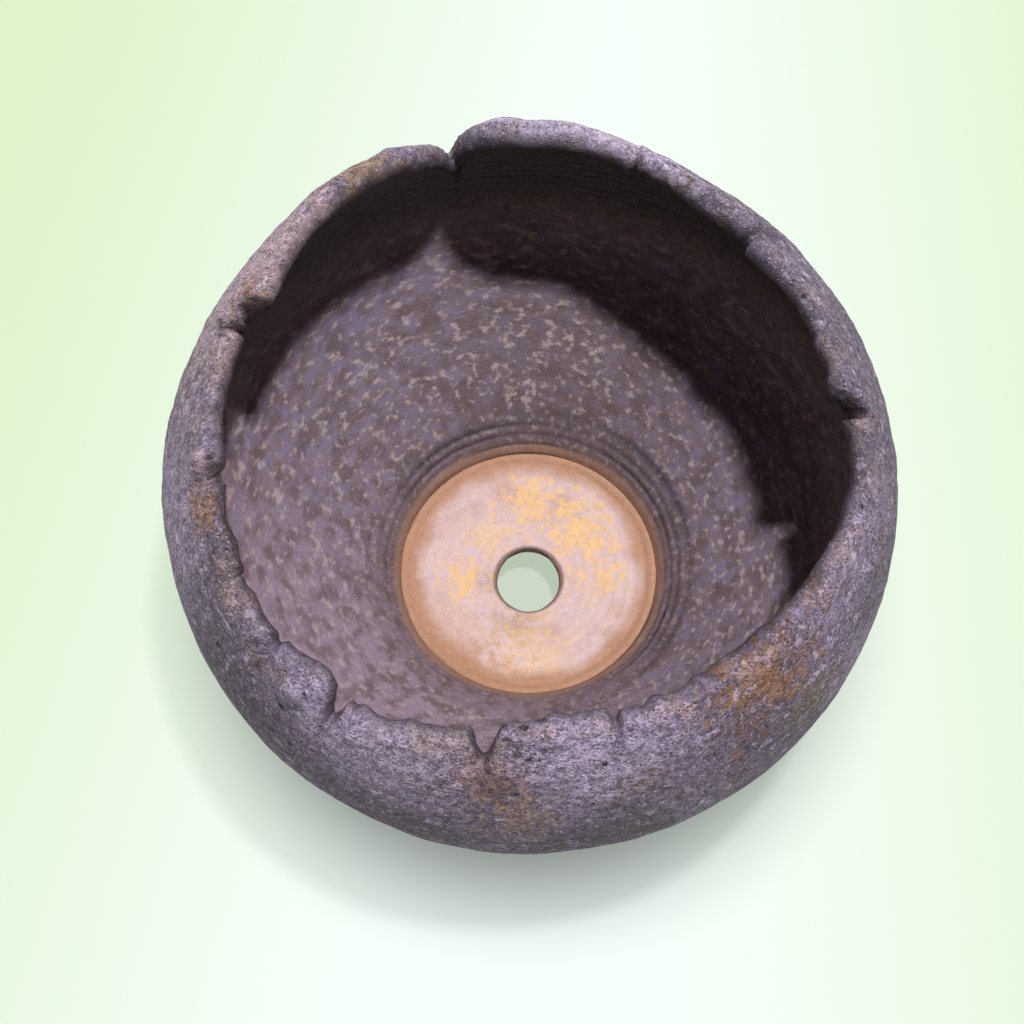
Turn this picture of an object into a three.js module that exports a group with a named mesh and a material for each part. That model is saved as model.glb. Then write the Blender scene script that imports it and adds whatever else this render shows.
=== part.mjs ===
import * as THREE from 'three';

// A hand-built stoneware planter: a thrown wall with a torn, curled-in rim, luted to
// a base slab with a drain hole, on three clay feet. Millimetres, +Z up, the axis of
// the pot on the Z axis and the feet on z = 0. The front is towards -Y.

// Driving sizes
const BELLY_RADIUS = 116;
const BELLY_HEIGHT = 95;
const BASE_RADIUS = 62;
const FLOOR_RADIUS = 45;
const SLAB_THICKNESS = 12;
const FLOOR_DISH = 2;
const FOOT_HEIGHT = 9;
const FOOT_RADIUS = 14;
const DRAIN_RADIUS = 11;
const DRAIN_OFFSET = 2.5;
const WALL_AT_FOOT = 13;
const WALL_AT_BELLY = 8.5;
const WALL_AT_RIM = 7;

// Gap left between two pieces of clay that are luted together
const LUTE_GAP = 0.3;

// The feet stand in from the slab's edge by this share of their own radius.
const FOOT_INSET = 0.286;

// The lower wall leaves the base at this angle and stands upright at the belly.
const BASE_FLARE = THREE.MathUtils.degToRad(45);

// The shoulder is part of an ellipse, this much lower than a circle on the belly. It
// narrows to the mouth, which is this share of the belly.
const SHOULDER_ROUNDNESS = 0.905;
const MOUTH_SHARE = 0.79;

// Sizes and heights that follow from those above
const FOOT_CIRCLE = BASE_RADIUS - FOOT_RADIUS * (1 + FOOT_INSET);
const DRAIN_FLARE = SLAB_THICKNESS / 6;
const SLAB_BOTTOM = FOOT_HEIGHT;
const SLAB_TOP = SLAB_BOTTOM + SLAB_THICKNESS;
const WALL_BOTTOM = SLAB_TOP + LUTE_GAP;
const SHOULDER_RISE = BELLY_RADIUS * SHOULDER_ROUNDNESS;
const MOUTH_RADIUS = BELLY_RADIUS * MOUTH_SHARE;

// The torn rim, anticlockwise from +X. Each tear has its place in degrees, half its
// width in degrees, how deep it runs down the wall, and how far the flap after it
// stands proud of the flap before it, both in rim thicknesses.
const TEARS = [
  { at: 0.8, half: 2.6, deep: 1.3, proud: 0.2 },
  { at: 39.5, half: 1.2, deep: 0.6, proud: 0.4 },
  { at: 70.5, half: 1.4, deep: 0.5, proud: -0.2 },
  { at: 102.6, half: 2.2, deep: 0.7, proud: -0.2 },
  { at: 156.2, half: 2.1, deep: 1.3, proud: 0.15 },
  { at: 190.4, half: 1.3, deep: 1, proud: -0.25 },
  { at: 207.6, half: 1.3, deep: 0.6, proud: 0.25 },
  { at: 235.8, half: 1.8, deep: 2, proud: -0.3 },
  { at: 262, half: 3.1, deep: 1.9, proud: 0.15 },
  { at: 283, half: 1.3, deep: 0.9, proud: 0.2 },
];

// The flaps of clay between the tears: at each place round the rim, how far outside
// the mouth's radius the flap ends and how far it stands out from the shoulder's
// curve, both in rim thicknesses.
const FLAPS = [
  { at: 4, wider: -0.6, stand: 0 },
  { at: 14, wider: -0.4, stand: -0.2 },
  { at: 32, wider: -0.3, stand: -0.35 },
  { at: 50, wider: -0.45, stand: -0.3 },
  { at: 68, wider: -0.4, stand: 0 },
  { at: 84, wider: -0.45, stand: 0.5 },
  { at: 93, wider: -0.4, stand: 0.45 },
  { at: 103, wider: 1.7, stand: 0.05 },
  { at: 113, wider: 0.3, stand: 0.25 },
  { at: 121, wider: -0.05, stand: 0.4 },
  { at: 140, wider: -0.45, stand: 0.25 },
  { at: 153, wider: -0.95, stand: 0.1 },
  { at: 160, wider: -0.1, stand: 0.05 },
  { at: 187, wider: -0.1, stand: 0.1 },
  { at: 196, wider: 0.4, stand: 0.1 },
  { at: 224, wider: 0.85, stand: 0 },
  { at: 232, wider: 0.6, stand: 0 },
  { at: 241, wider: 1.1, stand: 0 },
  { at: 268, wider: 0.2, stand: 0 },
  { at: 300, wider: 0.05, stand: 0 },
  { at: 330, wider: 0.15, stand: 0.15 },
  { at: 350, wider: 0.4, stand: 0.2 },
];

// A flap's proud side sinks back over this many degrees. A flap begins to stand out at
// this share of the way from the belly to the edge.
const PROUD_RUN = 24;
const STAND_START = 0.3;

// How fine the surfaces are
const COLUMN_STEP = 3;
const LOWER_ROWS = 8;
const SHOULDER_ROWS = 7;
const LIP_ROWS = 4;
const SLAB_COLUMNS = 72;
const FOOT_COLUMNS = 32;

const STONEWARE = { color: 0x6b5551, roughness: 0.86, metalness: 0 };
const FLOOR_CLAY = { color: 0x97786a, roughness: 0.84, metalness: 0 };
const FOOT_CLAY = { color: 0x5e4a44, roughness: 0.88, metalness: 0 };

// Degrees turned anticlockwise from one angle to the next
function turnBetween(from, to) {
  return THREE.MathUtils.euclideanModulo(to - from, 360);
}

// Degrees between two angles, whichever way round is shorter
function spread(first, second) {
  return Math.abs(turnBetween(first - 180, second) - 180);
}

// A soft start and stop between 0 and 1
function ease(share) {
  return (1 - Math.cos(Math.PI * share)) / 2;
}

// The flap at this angle, before any tear: a soft swing from one listed place to the
// next
function flapAt(angle) {
  const index = FLAPS.findIndex((here, place) => {
    const next = FLAPS[(place + 1) % FLAPS.length];
    return turnBetween(here.at, angle) < turnBetween(here.at, next.at);
  });
  const here = FLAPS[index];
  const next = FLAPS[(index + 1) % FLAPS.length];
  const share = ease(turnBetween(here.at, angle) / turnBetween(here.at, next.at));
  return {
    radius: MOUTH_RADIUS + WALL_AT_RIM * THREE.MathUtils.lerp(here.wider, next.wider, share),
    stand: WALL_AT_RIM * THREE.MathUtils.lerp(here.stand, next.stand, share),
  };
}

// How deep a tear runs down the wall at this angle: a V at each tear
function tearDepth(angle) {
  const cuts = TEARS.map((tear) => tear.deep * (1 - spread(tear.at, angle) / tear.half));
  return Math.max(0, ...cuts) * WALL_AT_RIM;
}

// How far a tear's proud side lifts the flap at this angle
function liftBeside(angle) {
  const lift = TEARS.reduce((sum, tear) => {
    const past = turnBetween(tear.at, angle) / PROUD_RUN;
    return past > 0 && past < 1 ? sum + tear.proud * (1 - ease(past)) : sum;
  }, 0);
  return lift * WALL_AT_RIM;
}

// Angles of the wall's columns: an even step, with each tear's two sides and bottom.
// The four columns on the X and Y axes always stay, so the belly is centred.
function wallAngles() {
  const angles = TEARS.flatMap((tear) => [tear.at - tear.half, tear.at, tear.at + tear.half]);
  for (let angle = 0; angle < 360; angle += COLUMN_STEP) {
    const clear = TEARS.every((tear) => spread(tear.at, angle) > tear.half + COLUMN_STEP / 3);
    if (clear || angle % 90 === 0) {
      angles.push(angle);
    }
  }
  return angles.map((angle) => turnBetween(0, angle)).sort((a, b) => a - b);
}

// Closed ring of skin: one closed section for each angle, joined to its neighbours.
// The section's points run up the outside, over and down the inside.
function ringBody(angles, sectionAt) {
  const sections = angles.map((angle) => sectionAt(angle));
  const rows = sections[0].length;
  const positions = sections.flatMap((section, column) => {
    const turn = THREE.MathUtils.degToRad(angles[column]);
    return section.flatMap(({ radius, height, shift = 0 }) => [
      radius * Math.cos(turn),
      radius * Math.sin(turn) - shift,
      height,
    ]);
  });
  const indices = [];
  for (let column = 0; column < angles.length; column += 1) {
    const next = (column + 1) % angles.length;
    for (let row = 0; row < rows; row += 1) {
      const above = (row + 1) % rows;
      const corners = [column * rows + row, next * rows + row, next * rows + above, column * rows + above];
      indices.push(corners[0], corners[1], corners[2], corners[0], corners[2], corners[3]);
    }
  }
  const geometry = new THREE.BufferGeometry();
  geometry.setAttribute('position', new THREE.Float32BufferAttribute(positions, 3));
  geometry.setIndex(indices);
  geometry.computeVertexNormals();
  return geometry;
}

function piece(name, geometry, clay) {
  const mesh = new THREE.Mesh(geometry, new THREE.MeshStandardMaterial(clay));
  mesh.name = name;
  return mesh;
}

// Outside of the wall in section, from the base up to the belly
function lowerOutside() {
  const pull = (BELLY_HEIGHT - WALL_BOTTOM) * 0.47;
  const start = new THREE.Vector2(BASE_RADIUS, WALL_BOTTOM);
  const belly = new THREE.Vector2(BELLY_RADIUS, BELLY_HEIGHT);
  const flare = new THREE.Vector2(Math.cos(BASE_FLARE), Math.sin(BASE_FLARE)).multiplyScalar(pull);
  const curve = new THREE.CubicBezierCurve(
    start,
    start.clone().add(flare),
    belly.clone().setY(BELLY_HEIGHT - pull),
    belly,
  );
  return Array.from({ length: LOWER_ROWS }, (_, row) => {
    const share = row / LOWER_ROWS;
    const along = curve.getTangent(share);
    return {
      point: curve.getPoint(share),
      outward: new THREE.Vector2(along.y, -along.x),
      thickness: THREE.MathUtils.lerp(WALL_AT_FOOT, WALL_AT_BELLY, share),
    };
  });
}

// Outside of the shoulder in section, from the belly up to the torn edge
function shoulderOutside(angle) {
  const flap = flapAt(angle);
  const edgeRadius = flap.radius + WALL_AT_RIM * 0.75;
  const edgeTurn = Math.acos(edgeRadius / BELLY_RADIUS) - tearDepth(angle) / SHOULDER_RISE;
  const stand = flap.stand + liftBeside(angle);
  return Array.from({ length: SHOULDER_ROWS + 1 }, (_, row) => {
    const share = row / SHOULDER_ROWS;
    const turn = edgeTurn * share;
    const outward = new THREE.Vector2(
      SHOULDER_RISE * Math.cos(turn),
      BELLY_RADIUS * Math.sin(turn),
    ).normalize();
    const point = new THREE.Vector2(
      BELLY_RADIUS * Math.cos(turn),
      BELLY_HEIGHT + SHOULDER_RISE * Math.sin(turn),
    );
    point.addScaledVector(outward, stand * THREE.MathUtils.smoothstep(share, STAND_START, 1));
    return { point, outward, thickness: THREE.MathUtils.lerp(WALL_AT_BELLY, WALL_AT_RIM, share) };
  });
}

// The wall's whole section at one angle: up the outside, round the torn edge's half
// circle, down the inside and in along the floor's edge to the base.
function wallSection(angle) {
  const outside = [...lowerOutside(), ...shoulderOutside(angle)];
  const inside = outside.map(({ point, outward, thickness }) =>
    point.clone().addScaledVector(outward, -thickness));
  const edge = outside[outside.length - 1];
  const middle = edge.point.clone().addScaledVector(edge.outward, -WALL_AT_RIM / 2);
  const upward = new THREE.Vector2(-edge.outward.y, edge.outward.x);
  const lip = Array.from({ length: LIP_ROWS - 1 }, (_, row) => {
    const turn = (Math.PI * (row + 1)) / LIP_ROWS;
    return middle
      .clone()
      .addScaledVector(edge.outward, (Math.cos(turn) * WALL_AT_RIM) / 2)
      .addScaledVector(upward, (Math.sin(turn) * WALL_AT_RIM) / 2);
  });
  const innerCorner = new THREE.Vector2(FLOOR_RADIUS, WALL_BOTTOM);
  const fillet = innerCorner.clone().lerp(inside[0], 0.5);
  fillet.x += WALL_AT_FOOT / 12;
  fillet.y -= WALL_AT_FOOT / 9;
  return [...outside.map(({ point }) => point), ...lip, ...inside.reverse(), fillet, innerCorner]
    .map((point) => ({ radius: point.x, height: point.y }));
}

// Piece 1: the thrown wall with its torn rim
function makeWall() {
  return piece('pot_wall', ringBody(wallAngles(), wallSection), STONEWARE);
}

// Piece 2: the base slab. It is the floor of the pot inside, a little dished to the
// drain hole, which sits slightly forward of the middle and widens downward.
function makeBaseSlab() {
  const softening = SLAB_THICKNESS / 12;
  const dishTop = SLAB_TOP - FLOOR_DISH;
  const halfway = (FLOOR_RADIUS + DRAIN_RADIUS) / 2;
  const section = [
    { radius: DRAIN_RADIUS + DRAIN_FLARE, height: SLAB_BOTTOM, shift: DRAIN_OFFSET },
    { radius: BASE_RADIUS - softening, height: SLAB_BOTTOM },
    { radius: BASE_RADIUS, height: SLAB_BOTTOM + softening },
    { radius: BASE_RADIUS, height: SLAB_TOP },
    { radius: FLOOR_RADIUS - softening, height: SLAB_TOP },
    { radius: halfway, height: SLAB_TOP - FLOOR_DISH * 0.7, shift: DRAIN_OFFSET / 2 },
    { radius: DRAIN_RADIUS + softening, height: dishTop, shift: DRAIN_OFFSET },
    { radius: DRAIN_RADIUS, height: dishTop - softening, shift: DRAIN_OFFSET },
  ];
  const angles = Array.from({ length: SLAB_COLUMNS }, (_, column) => (column * 360) / SLAB_COLUMNS);
  return piece('base_slab', ringBody(angles, () => section), FLOOR_CLAY);
}

// Pieces 3 to 5: three pads of clay, flat below, spread a little where they rest
function makeFoot(name, angle) {
  const top = FOOT_HEIGHT - LUTE_GAP;
  const soft = FOOT_HEIGHT * 0.28;
  const edge = new THREE.EllipseCurve(FOOT_RADIUS - soft, soft, soft, soft, -Math.PI / 2, 0);
  const waist = new THREE.QuadraticBezierCurve(
    new THREE.Vector2(FOOT_RADIUS, soft),
    new THREE.Vector2(FOOT_RADIUS - soft * 0.8, top * 0.7),
    new THREE.Vector2(FOOT_RADIUS - soft * 0.2, top),
  );
  const profile = [
    new THREE.Vector2(0, 0),
    ...edge.getPoints(4),
    ...waist.getPoints(4).slice(1),
    new THREE.Vector2(0, top),
  ];
  const turn = THREE.MathUtils.degToRad(angle);
  const geometry = new THREE.LatheGeometry(profile, FOOT_COLUMNS);
  geometry.rotateX(Math.PI / 2);
  geometry.translate(FOOT_CIRCLE * Math.cos(turn), FOOT_CIRCLE * Math.sin(turn), 0);
  return piece(name, geometry, FOOT_CLAY);
}

const group = new THREE.Group();
group.add(
  makeWall(),
  makeBaseSlab(),
  makeFoot('foot_back', 90),
  makeFoot('foot_front_left', 210),
  makeFoot('foot_front_right', 330),
);

export default group;
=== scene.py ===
import math

import bpy
import numpy as np
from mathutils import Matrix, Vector


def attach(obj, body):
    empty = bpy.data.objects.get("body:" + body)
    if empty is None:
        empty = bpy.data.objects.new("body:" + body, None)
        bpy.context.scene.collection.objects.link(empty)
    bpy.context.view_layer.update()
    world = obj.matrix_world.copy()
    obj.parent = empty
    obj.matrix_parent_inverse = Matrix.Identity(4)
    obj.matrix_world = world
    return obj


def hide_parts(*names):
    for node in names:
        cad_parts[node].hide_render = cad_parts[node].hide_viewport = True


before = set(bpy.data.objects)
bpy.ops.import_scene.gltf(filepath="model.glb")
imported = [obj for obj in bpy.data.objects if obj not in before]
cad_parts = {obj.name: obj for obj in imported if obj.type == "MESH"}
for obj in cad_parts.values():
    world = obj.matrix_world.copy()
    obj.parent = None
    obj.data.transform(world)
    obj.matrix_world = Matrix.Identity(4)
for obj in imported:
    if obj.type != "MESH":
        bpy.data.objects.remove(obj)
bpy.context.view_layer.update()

# The wall of the pot, thrown from rough grogged stoneware. It swells to the belly,
# curls in over the shoulder and ends in a torn rim, where flaps of clay overlap. All
# its sizes are in millimetres until the mesh is made.

BELLY_RADIUS = 115.5
BELLY_HEIGHT = 95
BASE_RADIUS = 61.8
BASE_HEIGHT = 21.4
FLOOR_RADIUS = 45
WALL_AT_FOOT = 13
WALL_AT_BELLY = 8.5
WALL_AT_RIM = 7.5
SHOULDER_RISE = 105

# The flaps of the rim, anticlockwise from +X: (degrees, radius at which the flap
# ends, how far it stands out from the shoulder's curve).
FLAPS = [
    (3.5, 87.0, 0.2),
    (8, 88.0, -0.8),
    (14, 88.5, -1.4),
    (22, 89.5, -2.0),
    (32, 89.0, -2.4),
    (46, 88.0, -2.4),
    (58, 88.0, -1.4),
    (68, 88.5, 0.0),
    (76, 89.5, 2.0),
    (84, 88.0, 3.4),
    (92, 88.5, 3.2),
    (97, 92.0, 2.8),
    (100.5, 99.0, 1.6),
    (103, 103.5, 0.4),
    (105.5, 101.0, 0.4),
    (109, 96.0, 0.8),
    (113, 93.5, 1.8),
    (120, 91.0, 2.8),
    (130, 89.5, 2.6),
    (140, 88.0, 1.6),
    (148, 86.0, 0.8),
    (154, 84.5, 0.6),
    (158, 90.5, 0.2),
    (164, 89.5, 0.4),
    (176, 90.5, 0.6),
    (187, 90.5, 0.8),
    (194, 93.5, 0.6),
    (205, 95.0, 0.4),
    (212, 96.2, 0.2),
    (225, 97.5, 0.0),
    (232, 95.5, 0.0),
    (237, 99.0, 0.0),
    (244, 99.0, 0.0),
    (254, 96.5, 0.0),
    (266, 93.0, 0.0),
    (280, 91.5, 0.2),
    (290, 92.5, 0.2),
    (305, 91.8, 0.4),
    (325, 92.2, 1.0),
    (345, 94.0, 1.2),
    (357, 93.0, 1.2),
]

# The tears between the flaps: (degrees, half width in degrees, how far down the wall,
# how far the flap after it stands proud of the flap before it, and by how many degrees
# the tear leans round the rim on its way up).
TEARS = [
    (0.8, 2.1, 12, 1.9, 0.0),
    (39.5, 1.2, 3, 2.4, 2.0),
    (70.5, 1.3, 2, -1.4, -1.0),
    (102.6, 2.2, 5, -1.4, 1.0),
    (156.2, 2.0, 8, 1.2, 2.5),
    (160.6, 1.4, 4, -0.8, 1.0),
    (190.4, 1.5, 4, -2.0, 1.5),
    (207.6, 1.3, 2, 1.8, 1.0),
    (221.5, 1.4, 2, -1.2, 1.0),
    (235.8, 1.7, 10, -2.0, 1.0),
    (262, 3.0, 12, 1.0, 0.0),
    (283, 1.3, 4, 1.6, 1.0),
]

# How far round the rim a flap stands proud in degrees, how far down a tear's lean runs,
# and the radius at which lengths along the rim are measured.
PROUD_RUN = 16
LEAN_RUN = 17.0
MOUTH_RADIUS = 92.0

# How fine the wall's mesh is: degrees between columns, also in the tears, and rows.
COLUMN_STEP = 0.5
TEAR_STEP = 0.12
ROWS_BELOW_BELLY = 46
ROWS_ON_SHOULDER = 64
ROWS_ROUND_LIP = 20

# Waves that hands and grog leave in the skin and along the torn edge, and the wander of
# the creases in degrees: (height, length, seed).
HAND_WAVES = [(0.55, 38.0, 11), (0.42, 14.0, 12)]
THUMB_WAVES = [(0.30, 7.0, 16)]
GRAIN_WAVES = [(0.22, 3.6, 13), (0.16, 1.9, 14)]
EDGE_WAVES = [(0.6, 5.0, 3), (0.28, 2.2, 4)]
CREASE_WAVES = [(1.2, 9.0, 8)]

# How far down from the edge these reach: a flap standing proud, the groove that a tear
# leaves under it, and the worn pink clay, partly a painted highlight.
PROUD_DEPTH = 16.0
GROOVE_DEPTH = 4.0
WORN_AND_HIGHLIGHT_DEPTH = 6.0

# The throwing rings inside by the floor: where they end, how far they take to fade, how
# fast they follow each other up the wall, and how wide a line of painted shade lies in each.
RINGS_TOP = 32.0
RINGS_FADE = 5.0
RING_TURN = 1.12
RING_SHADE_WIDTH = 0.6

# The highest flap is pressed back a little above this height.
PRESSED_FROM = 160.5
PRESSED_SHARE = 0.4

# Thumbed-over nubs of clay on the flaps: (degrees, how far below the edge, how far
# across, how high, and how far they push the edge inward).
NUBS = [
    (4.6, 4.0, 6.0, 1.4, 0.6),
    (14.5, 4.0, 4.5, 0.7, 0.7),
    (24.0, 3.0, 3.5, 0.8, 0.6),
    (41.8, 3.5, 4.0, 1.0, 0.6),
    (54.0, 3.0, 3.0, 0.6, 0.5),
    (65.0, 2.5, 2.6, 0.9, 0.8),
    (68.2, 2.0, 2.4, 0.9, 0.6),
    (94.5, 5.0, 6.5, 0.9, 0.0),
    (116.0, 4.0, 4.0, 0.8, 0.3),
    (133.5, 3.0, 3.5, 0.7, 0.7),
    (145.0, 4.0, 4.5, 0.8, 0.5),
    (153.0, 3.5, 4.2, 1.8, 0.8),
    (158.7, 3.0, 3.0, 1.5, 0.8),
    (163.0, 3.5, 4.0, 1.5, 0.7),
    (187.6, 3.5, 4.6, 2.4, 1.2),
    (203.8, 3.0, 3.4, 1.3, 1.0),
    (213.0, 3.0, 3.5, 1.0, 0.6),
    (229.0, 7.0, 7.5, 2.2, 0.0),
    (240.8, 4.0, 5.0, 1.6, 0.8),
    (250.0, 3.0, 4.0, 0.7, 0.6),
    (274.0, 3.5, 4.0, 0.9, 0.7),
    (291.0, 3.0, 3.5, 0.8, 0.7),
    (313.0, 3.0, 5.0, 0.6, 0.4),
    (335.0, 4.0, 5.0, 0.7, 0.4),
    (357.3, 3.0, 4.4, 1.7, 0.8),
]

# Creases pressed across the rim: (degrees, half width in degrees, how far down from the
# edge they run, how deep).
CREASES = [
    (18.5, 0.7, 12, 0.5),
    (55.5, 0.7, 10, 0.5),
    (79.0, 0.6, 9, 0.4),
    (119.0, 0.9, 15, 0.8),
    (132.0, 0.7, 12, 0.5),
    (160.8, 1.1, 24, 0.9),
    (172.5, 0.6, 15, 0.9),
    (198.0, 0.7, 10, 0.5),
    (214.5, 0.8, 15, 0.7),
    (226.0, 1.0, 14, 1.3),
    (247.0, 0.8, 12, 0.6),
    (271.0, 0.7, 13, 0.6),
    (299.0, 0.8, 12, 0.5),
    (322.0, 1.0, 16, 0.5),
    (345.5, 0.8, 14, 0.6),
]


def nearest_turn(first, second):
    """Degrees from the first angle to the second, the shorter way, with its sign."""
    return np.mod(second - first + 180.0, 360.0) - 180.0


def soft_step(value):
    value = np.clip(value, 0.0, 1.0)
    return value * value * (3.0 - 2.0 * value)


def round_the_rim(places, values, angles):
    """Runs smoothly through the values at the places, all the way round."""
    places = np.array(places, float)
    values = np.array(values, float)
    spots = np.concatenate([places[-2:] - 360.0, places, places[:2] + 360.0])
    marks = np.concatenate([values[-2:], values, values[:2]])
    turn = np.mod(angles, 360.0)
    cell = np.clip(np.searchsorted(spots, turn, side="right") - 1, 1, len(spots) - 3)
    share = (turn - spots[cell]) / (spots[cell + 1] - spots[cell])
    slope_in = (marks[cell + 1] - marks[cell - 1]) / (spots[cell + 1] - spots[cell - 1])
    slope_out = (marks[cell + 2] - marks[cell]) / (spots[cell + 2] - spots[cell])
    width = spots[cell + 1] - spots[cell]
    square, cube = share**2, share**3
    return (
        (2 * cube - 3 * square + 1) * marks[cell]
        + (cube - 2 * square + share) * slope_in * width
        + (3 * square - 2 * cube) * marks[cell + 1]
        + (cube - square) * slope_out * width
    )


def clay_noise(points, size, seed):
    """Smooth random field over the points, about -1 to 1, with features of this size."""
    cells = points / size
    corner = np.floor(cells).astype(np.int64)
    part = cells - corner
    part = part * part * (3.0 - 2.0 * part)
    total = np.zeros(points.shape[:-1])
    for index in range(8):
        step = np.array([index & 1, index >> 1 & 1, index >> 2 & 1])
        key = corner + step
        across, ahead, up = key[..., 0], key[..., 1], key[..., 2]
        mixed = across * 73856093 ^ ahead * 19349663 ^ up * 83492791 ^ seed * 7919
        mixed = (mixed ^ mixed >> 13) * 1274126177 & 0x7FFFFFFF
        value = ((mixed ^ mixed >> 15) & 0xFFFF) / 32767.5 - 1.0
        total += value * np.prod(np.where(step == 1, part, 1.0 - part), axis=-1)
    return total


def waves(points, table):
    """The sum of waves of clay noise: (height, length, seed)."""
    return sum(high * clay_noise(points, length, seed) for high, length, seed in table)


def rim_columns():
    """Angles of the columns: even steps, closer together through each tear."""
    even = np.arange(0.0, 360.0, COLUMN_STEP)
    near = [at + np.arange(-half * 1.4, half * 1.4, TEAR_STEP) for at, half, *_ in TEARS]
    angles = np.unique(np.round(np.mod(np.concatenate([even, *near]), 360.0), 2))
    keep = np.concatenate([[True], np.diff(angles) > 0.05])
    return angles[keep]


def lower_outside(rows):
    """The outside in section from the base to the belly, with its outward normal."""
    share = np.linspace(0.0, 1.0, rows, endpoint=False)[:, None]
    pull = (BELLY_HEIGHT - BASE_HEIGHT) * 0.47
    flare = pull * math.sqrt(0.5)
    ends = np.array(
        [
            (BASE_RADIUS, BASE_HEIGHT),
            (BASE_RADIUS + flare, BASE_HEIGHT + flare),
            (BELLY_RADIUS, BELLY_HEIGHT - pull),
            (BELLY_RADIUS, BELLY_HEIGHT),
        ]
    )
    left = 1.0 - share
    spots = (
        left**3 * ends[0]
        + 3 * left**2 * share * ends[1]
        + 3 * left * share**2 * ends[2]
        + share**3 * ends[3]
    )
    along = (
        left**2 * (ends[1] - ends[0])
        + 2 * left * share * (ends[2] - ends[1])
        + share**2 * (ends[3] - ends[2])
    )
    along /= np.linalg.norm(along, axis=1, keepdims=True)
    outward = np.stack([along[:, 1], -along[:, 0]], axis=1)
    return spots, outward, WALL_AT_FOOT + (WALL_AT_BELLY - WALL_AT_FOOT) * share[:, 0]


def wall_points(angles):
    """The wall's skin as rows of points, with its marks for the glaze: how far inside
    each point is, how near the torn edge, and how deep in a crease."""
    count = len(angles)
    circle = np.radians(angles)
    places, radii, stands = zip(*FLAPS)
    edge_spot = np.stack([80 * np.cos(circle), 80 * np.sin(circle), np.zeros(count)], axis=1)
    ragged = waves(edge_spot, EDGE_WAVES)
    for at, _, across, _, reach in NUBS:
        away = np.radians(nearest_turn(at, angles)) * MOUTH_RADIUS
        ragged = ragged - reach * np.exp(-((away / (across * 0.7)) ** 2))
    flap_edge = round_the_rim(places, radii, angles) + WALL_AT_RIM * 0.75 + ragged
    stand = round_the_rim(places, stands, angles)
    cut = np.zeros(count)
    groove = np.zeros(count)
    lift = np.zeros(count)
    lean = np.zeros(count)
    for at, half, deep, proud, leans in TEARS:
        away = nearest_turn(at, angles)
        cut = np.maximum(cut, deep * (1.0 - soft_step(np.abs(away) / half)))
        groove = np.maximum(groove, np.exp(-((away / (half * 1.3)) ** 2)))
        side = soft_step(0.5 + away / (half * 0.8))
        fade_out = 1.0 - soft_step(np.abs(away) / PROUD_RUN)
        lift += proud * (side - 0.5) * fade_out
        lean += leans * np.exp(-((away / (half + 3.0)) ** 2))
    full_turn = np.arccos(flap_edge / BELLY_RADIUS)
    edge_height = BELLY_HEIGHT + SHOULDER_RISE * np.sin(full_turn)
    edge_turn = full_turn - cut / SHOULDER_RISE

    low_spots, low_outward, low_thick = lower_outside(ROWS_BELOW_BELLY)
    low_spots = np.repeat(low_spots[:, None, :], count, axis=1)
    low_outward = np.repeat(low_outward[:, None, :], count, axis=1)
    low_thick = np.repeat(low_thick[:, None], count, axis=1)

    # Up the shoulder, with the rows drawn together towards the edge.
    share = np.linspace(0.0, 1.0, ROWS_ON_SHOULDER)[:, None]
    turn = edge_turn * (1.0 - (1.0 - share) ** 1.25)
    to_edge = (full_turn - turn) * SHOULDER_RISE
    outward = np.stack([SHOULDER_RISE * np.cos(turn), BELLY_RADIUS * np.sin(turn)], axis=2)
    outward /= np.linalg.norm(outward, axis=2, keepdims=True)
    up_shoulder = BELLY_HEIGHT + SHOULDER_RISE * np.sin(turn)
    shoulder = np.stack([BELLY_RADIUS * np.cos(turn), up_shoulder], axis=2)
    to_tear = np.maximum(to_edge - cut, 0.0)
    near_edge = np.exp(-((to_edge / PROUD_DEPTH) ** 2))
    out = stand * soft_step((turn / full_turn - 0.25) / 0.75) + lift * near_edge
    sunk = groove * np.exp(-((to_tear / GROOVE_DEPTH) ** 2))
    for at, half, runs, deep in CREASES:
        away = nearest_turn(at, angles) + waves(edge_spot, CREASE_WAVES)
        sunk = sunk + deep * np.exp(-((away / half) ** 2)) * (1.0 - soft_step(to_edge / runs))
    for at, below, across, high, _ in NUBS:
        away = np.radians(nearest_turn(at, angles)) * MOUTH_RADIUS
        spread = np.sqrt(away**2 + (to_edge - below) ** 2) / across
        out = out + high * (1.0 - soft_step(spread))
    shoulder = shoulder + outward * (out - sunk)[..., None]
    thick = WALL_AT_BELLY + (WALL_AT_RIM - WALL_AT_BELLY) * share - 0.6 * sunk

    outside = np.concatenate([low_spots, shoulder])
    outward = np.concatenate([low_outward, outward])
    thick = np.concatenate([low_thick, thick])
    inside = outside - outward * thick[..., None]

    # The lip is half a round between the outside and the inside.
    edge_normal = outward[-1]
    edge_along = np.stack([-edge_normal[:, 1], edge_normal[:, 0]], axis=1)
    half_thick = thick[-1][:, None] / 2.0
    middle = outside[-1] - edge_normal * half_thick
    sweep = np.linspace(0.0, math.pi, ROWS_ROUND_LIP)[1:-1]
    lip = [
        middle + edge_normal * half_thick * math.cos(s) + edge_along * half_thick * math.sin(s)
        for s in sweep
    ]

    # Inside, a small fillet meets the floor.
    corner = np.array([FLOOR_RADIUS, BASE_HEIGHT])
    share = np.linspace(0.0, 1.0, 14)[1:, None, None]
    bend = np.array([FLOOR_RADIUS + 1.5, BASE_HEIGHT + 3.0])
    fillet = (1.0 - share) ** 2 * inside[0] + 2 * share * (1.0 - share) * bend + share**2 * corner

    section = np.concatenate([outside, lip, inside[::-1], fillet])
    low_rows, lip_rows, fillet_rows = len(low_spots), len(lip), len(fillet)

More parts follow.
